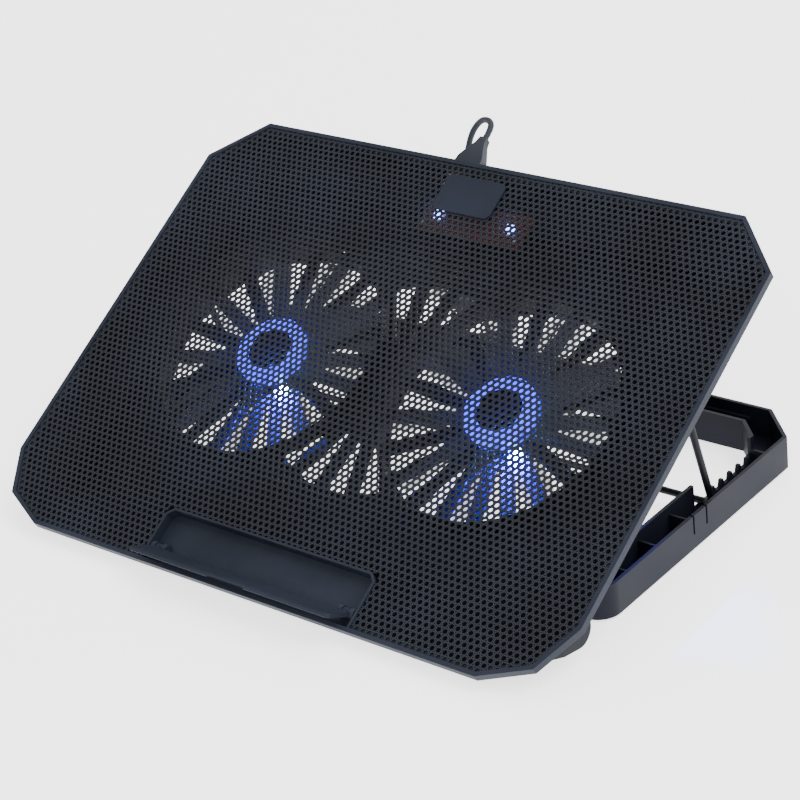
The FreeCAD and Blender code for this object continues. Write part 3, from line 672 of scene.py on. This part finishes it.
def ring_of_edges(sides, radius, height, turn=0.0):
    """A level polygon of edges about the Z axis."""
    deselect()
    bpy.ops.mesh.primitive_circle_add(
        vertices=sides, radius=radius, location=(0, 0, height), rotation=(0, 0, turn)
    )
    return settle(bpy.context.active_object)


def perforated_cell(sizes):
    """One six-sided cell of the sheet round one hole, with the hole's wall."""
    outer = ring_of_edges(6, sizes.pitch / math.sqrt(3), -sizes.sink, math.pi / 6)
    cell = ring_of_edges(sizes.sides, sizes.hole, -sizes.sink)
    activate(outer, cell)
    bpy.ops.object.join()
    edit(cell, "EDGE")
    bpy.ops.mesh.select_all(action="SELECT")
    bpy.ops.mesh.bridge_edge_loops()
    shape = bmesh.from_edit_mesh(cell.data)
    for face in shape.faces:
        if face.normal.z < 0:
            face.normal_flip()
    hole_edge = sizes.hole * 1.01
    for edge in shape.edges:
        edge.select_set(all(vertex.co.xy.length < hole_edge for vertex in edge.verts))
    bmesh.update_edit_mesh(cell.data)
    bpy.ops.mesh.extrude_region_move(TRANSFORM_OT_translate={"value": (0, 0, -sizes.thickness)})
    shape = bmesh.from_edit_mesh(cell.data)
    for face in shape.faces:
        middle = face.calc_center_median()
        if abs(face.normal.z) < 0.5 and face.normal.xy.dot(middle.xy) > 0:
            face.normal_flip()
    bmesh.update_edit_mesh(cell.data)
    close()
    return cell


def cut_away(piece, planes):
    """Clip a piece to the inside of planes given as (point, outward normal)."""
    for point, outward in planes:
        edit(piece)
        bpy.ops.mesh.select_all(action="SELECT")
        bpy.ops.mesh.bisect(plane_co=point, plane_no=outward, clear_outer=True)
        close()


def outline_planes(inset):
    """The ten sides of the pad's outline, moved inwards, in the pad frame."""
    ring = OUTLINE + [(-x, y) for x, y in reversed(OUTLINE)]
    planes = []
    for (x0, y0), (x1, y1) in zip(ring, ring[1:] + ring[:1]):
        outward = Vector((y1 - y0, x0 - x1, 0)).normalized()
        point = Vector((x0, y0, 0)) * MM - outward * inset
        planes.append((point, outward))
    return planes


class COOLPAD_OT_mesh_panel(bpy.types.Operator):
    """Perforate the steel sheet in three parts that meet beside the stopper's tray"""

    bl_idname = "coolpad.mesh_panel"
    bl_label = "Mesh panel"

    def execute(self, context):
        sizes = context.scene.coolpad_mesh
        coat = powder_coat()
        row = sizes.pitch * math.sqrt(3) / 2
        first = perforated_cell(sizes)
        second = add_object("cell", first.data.copy())
        second.location = (sizes.pitch / 2, row, 0)
        activate(second, first)
        bpy.ops.object.join()
        sheet = context.view_layer.objects.active
        across = int(PAD_WIDTH / sizes.pitch) + 3
        along = int(PAD_DEPTH / (2 * row)) + 2
        repeats = (
            ("Across", across, (sizes.pitch, 0, 0)),
            ("Along", along, (0, 2 * row, 0)),
        )
        for name, count, step in repeats:
            repeat = sheet.modifiers.new(name, "ARRAY")
            repeat.count = count
            repeat.use_relative_offset = False
            repeat.use_constant_offset = True
            repeat.constant_offset_displace = step
        apply_modifiers(sheet)
        sheet.location = (-(across // 2) * sizes.pitch, 0, 0)
        settle(sheet)
        parts = {
            "mesh_left": [((-TRAY_HALF, 0, 0), (1, 0, 0))],
            "mesh_middle": [
                ((-TRAY_HALF, 0, 0), (-1, 0, 0)),
                ((TRAY_HALF, 0, 0), (1, 0, 0)),
                ((0, TRAY_REAR, 0), (0, -1, 0)),
            ],
            "mesh_right": [((TRAY_HALF, 0, 0), (-1, 0, 0))],
        }
        for name, planes in parts.items():
            part = add_object(name, sheet.data.copy())
            cut_away(part, planes + outline_planes(RIM_INSET))
            merge(part, CELL_MERGE)
            close()
            settle(part, PAD)
            smooth(part, 30)
            finish(part, coat, "pad", "painted_mesh")
        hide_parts("mesh_panel")
        bpy.data.objects.remove(sheet)
        return {"FINISHED"}


# ---------------------------------------------------------------- pad's plastics and badge


class COOLPAD_OT_casing(bpy.types.Operator):
    """Break the moulded edges of the rim, the stopper and the bottom housing"""

    bl_idname = "coolpad.casing"
    bl_label = "Casing"

    def execute(self, context):
        rim_abs = moulded_abs("moulded_abs_rim", "2a2e38", "22262f", 0.45)
        flap_abs = moulded_abs("moulded_abs_flap", "232732", "1c2029", 0.48)
        shell_abs = moulded_abs("moulded_abs_shell", "171a22", "111319", 0.5)
        refine("bezel_frame", rim_abs, 0.45, 3)
        refine("stopper_flap", flap_abs, 0.3, 2)
        refine("bottom_housing", shell_abs, 0.35, 2)
        steel = metal("drawn_steel_pin", "b5b5b3", "8d8d8c", 0.3)
        refine("stopper_pins", steel, 0.1)
        refine("hinge_pins", steel, 0.3)
        return {"FINISHED"}


class COOLPAD_OT_badge(bpy.types.Operator):
    """Blank badge: a moulded plate with a bevelled edge"""

    bl_idname = "coolpad.badge"
    bl_label = "Badge"

    def execute(self, context):
        plate = moulded_abs("moulded_abs_badge", "252934", "20242d", 0.55)
        refine("badge", plate, 0.35, 3)
        return {"FINISHED"}


# ---------------------------------------------------------------- fans and electronics


HUB_RADIUS = 20.6 * MM


class COOLPAD_OT_fans(bpy.types.Operator):
    """Finish the fan wheels, their caps, bearings, coils, boards and lights"""

    bl_idname = "coolpad.fans"
    bl_label = "Fans"

    def execute(self, context):
        clear = smoky_polycarbonate()
        # ring: the hub's soft blue painted glow, emission on the wheel's resin, which is no lamp.
        ring = painted_glow_polycarbonate()
        film = moulded_abs("printed_cap_film", "15161b", "0e0f13", 0.4)
        bronze = metal("sintered_bronze", "a9824e", "7d5c33", 0.45)
        copper = metal("enamelled_copper", "b86a3c", "8a4623", 0.35, (1, 1, 6))
        steel = metal("ground_steel_shaft", "c4c4c2", "9c9c9b", 0.25)
        mask = solder_mask()
        lens = glowing("blue_led_resin", "1b2cff", "8fe0ff", 120.0)
        wire = pvc_jacket()
        for side in FAN_SPOTS:
            # The hub's face and skirt get the painted glow.
            self.paint_hub_glow(refine(f"{side}_fan_rotor", clear, 0.25, 2), side, ring)
            refine(f"{side}_hub_cap", film, 0.15, 2)
            refine(f"{side}_fan_shaft", steel, 0.15)
            refine(f"{side}_fan_bearing", bronze, 0.15)
            refine(f"{side}_fan_stator", copper, 0.2)
            refine(f"{side}_fan_board", mask, 0.1)
            refine(f"{side}_fan_led", lens, 0.2)
            refine(f"{side}_fan_wire", wire, 0.0)
        return {"FINISHED"}

    def paint_hub_glow(self, wheel, side, ring):
        """Give the hub's face and skirt the resin with the painted glow."""
        wheel.data.materials.append(ring)
        axis = PAD @ FAN_SPOTS[side]
        along = (PAD.to_3x3() @ Vector((0, 0, 1))).normalized()
        edit(wheel)

        def on_hub(middle):
            arm = middle - axis
            return (arm - arm.dot(along) * along).length < HUB_RADIUS

        pick(wheel, on_hub)
        wheel.active_material_index = 1
        bpy.ops.object.material_slot_assign()
        close()


class COOLPAD_OT_electronics(bpy.types.Operator):
    """Finish the board, its lights and screws, the sockets and the power switch"""

    bl_idname = "coolpad.electronics"
    bl_label = "Electronics"

    def execute(self, context):
        nickel = metal("nickel_plated_shell", "c9c9c6", "a9a9a8", 0.3)
        knob = moulded_abs("moulded_abs_switch", "1b1c20", "131417", 0.45)
        refine("hub_board", solder_mask(), 0.1)
        refine("board_leds", glowing("board_led_resin", "1b2cff", "6f8cff", 12.0), 0.2)
        refine("board_screws", nickel, 0.15)
        refine("input_socket", nickel, 0.1)
        refine("spare_socket", nickel, 0.1)
        refine("power_switch_body", knob, 0.15)
        refine("power_switch_slider", knob, 0.2)
        return {"FINISHED"}


# ---------------------------------------------------------------- stand and prop


class COOLPAD_OT_stand(bpy.types.Operator):
    """Finish the stand's ring, its rubber feet and the wire prop"""

    bl_idname = "coolpad.stand"
    bl_label = "Stand and prop"

    def execute(self, context):
        ring_abs = moulded_abs("moulded_abs_ring", "1c1f29", "181a23", 0.5)
        refine("stand_frame", ring_abs, 0.4, 2)
        refine("rubber_feet", soft_rubber(), 0.2)
        refine("bail", painted_wire(), 0.0)
        return {"FINISHED"}


# ---------------------------------------------------------------- stage


SENSOR_WIDTH = 36.0
FLOOR_SIZE = 12.0
FLOOR_DROP = 0.4 * MM
AIM = Vector((0, 0, 0.08))

# Name, place, width in metres and power in watts of each soft lamp.
SOFT_LAMPS = (
    ("key", (1.7, 0.5, 2.4), 1.8, 62.0),
    ("fill", (0.9, -2.0, 1.6), 1.6, 30.0),
    ("rear", (-0.6, 2.2, 2.0), 2.0, 40.0),
)

# Headings of a fan lamp's beams, from the lamp's own heading, and the shape of one beam.
BEAM_TURNS = (-0.15, -0.95)
BEAM_ANGLE = math.radians(94)
BEAM_BLEND = 0.15
CHIP_RADIUS = 1.5 * MM


def turn_towards(lamp, way):
    """Turn a lamp so that it shines along a direction."""
    lamp.rotation_euler = way.to_track_quat("-Z", "Y").to_euler()


class COOLPAD_OT_stage(bpy.types.Operator):
    """Lit pale table, soft studio light, the beams of the fans' lamps, and the camera"""

    bl_idname = "coolpad.stage"
    bl_label = "Stage"

    def execute(self, context):
        sizes = context.scene.coolpad_stage
        self.camera(context, sizes)
        self.floor(sizes)
        self.studio(context)
        self.glow(sizes)
        return {"FINISHED"}

    def camera(self, context, sizes):
        lens = bpy.data.cameras.new("camera")
        lens.lens = sizes.lens
        lens.sensor_width = SENSOR_WIDTH
        lens.clip_start = 0.05
        lens.clip_end = 50
        camera = add_object("camera", lens)
        heading = Matrix.Rotation(sizes.azimuth, 4, "Z")
        pitch = Matrix.Rotation(math.pi / 2 - sizes.elevation, 4, "X")
        roll = Matrix.Rotation(sizes.roll, 4, "Z")
        camera.matrix_world = Matrix.Translation(sizes.place) @ heading @ pitch @ roll
        context.scene.camera = camera

    def floor(self, sizes):
        deselect()
        bpy.ops.mesh.primitive_plane_add(size=FLOOR_SIZE, location=(0, 0, -FLOOR_DROP))
        floor = bpy.context.active_object
        floor.name = "floor"
        material, _, surface = new_material("opal_acrylic_light_table")
        set_surface(
            surface,
            Base_Color=(*sizes.floor, 1.0),
            Roughness=0.9,
            Emission_Color=(1.0, 1.0, 1.0, 1.0),
            Emission_Strength=sizes.table_light,
        )
        floor.data.materials.append(material)

    def studio(self, context):
        world = bpy.data.worlds.new("studio")
        context.scene.world = world
        world.use_nodes = True
        background = world.node_tree.nodes["Background"]
        background.inputs["Color"].default_value = (0.97, 0.98, 1.0, 1.0)
        background.inputs["Strength"].default_value = 0.95
        for name, place, width, power in SOFT_LAMPS:
            light = bpy.data.lights.new(name, "AREA")
            light.shape = "SQUARE"
            light.size = width
            light.energy = power
            lamp = add_object(name, light)
            lamp.location = place
            turn_towards(lamp, AIM - Vector(place))

    def glow(self, sizes):
        """Each fan's lamp throws two overlapping violet-blue beams over the blades beside it."""
        heading = sizes.glow_heading
        reach = sizes.glow_reach
        offset = Vector((reach * math.cos(heading), reach * math.sin(heading), 0))
        for side, spot in FAN_SPOTS.items():
            place = PAD @ (Vector((spot.x, spot.y, -sizes.glow_drop)) + offset)
            for number, turn in enumerate(BEAM_TURNS):
                way = Vector((math.cos(heading + turn), math.sin(heading + turn), -1.0))
                light = bpy.data.lights.new(f"{side}_glow_{number}", "SPOT")
                light.color = colour("3038ff")[:3]
                light.energy = sizes.glow_power
                light.spot_size = BEAM_ANGLE
                light.spot_blend = BEAM_BLEND
                light.shadow_soft_size = CHIP_RADIUS
                lamp = add_object(f"{side}_glow_{number}", light)
                lamp.location = place
                turn_towards(lamp, PAD.to_3x3() @ way)


# ---------------------------------------------------------------- panel and registration

OPERATORS = (
    COOLPAD_OT_stage,
    COOLPAD_OT_lead,
    COOLPAD_OT_mesh_panel,
    COOLPAD_OT_casing,
    COOLPAD_OT_badge,
    COOLPAD_OT_fans,
    COOLPAD_OT_electronics,
    COOLPAD_OT_stand,
)


class COOLPAD_PT_pieces(bpy.types.Panel):
    """Lists the operators that finish the cooling pad"""

    bl_idname = "COOLPAD_PT_pieces"
    bl_label = "Cooling pad"
    bl_space_type = "VIEW_3D"
    bl_region_type = "UI"
    bl_category = "Cooling pad"

    def draw(self, context):
        for operator in OPERATORS:
            self.layout.operator(operator.bl_idname)


GROUPS = {"coolpad_lead": LeadSizes, "coolpad_mesh": MeshSizes, "coolpad_stage": StageSizes}
CLASSES = (*GROUPS.values(), *OPERATORS, COOLPAD_PT_pieces)


def register():
    for entry in CLASSES:
        bpy.utils.register_class(entry)
    for name, group in GROUPS.items():
        setattr(bpy.types.Scene, name, PointerProperty(type=group))


def unregister():
    for name in GROUPS:
        delattr(bpy.types.Scene, name)
    for entry in reversed(CLASSES):
        bpy.utils.unregister_class(entry)


def main():
    register()
    bpy.ops.coolpad.stage()
    bpy.ops.coolpad.lead()
    bpy.ops.coolpad.mesh_panel()
    bpy.ops.coolpad.casing()
    bpy.ops.coolpad.badge()
    bpy.ops.coolpad.fans()
    bpy.ops.coolpad.electronics()
    bpy.ops.coolpad.stand()


if __name__ == "__main__":
    main()
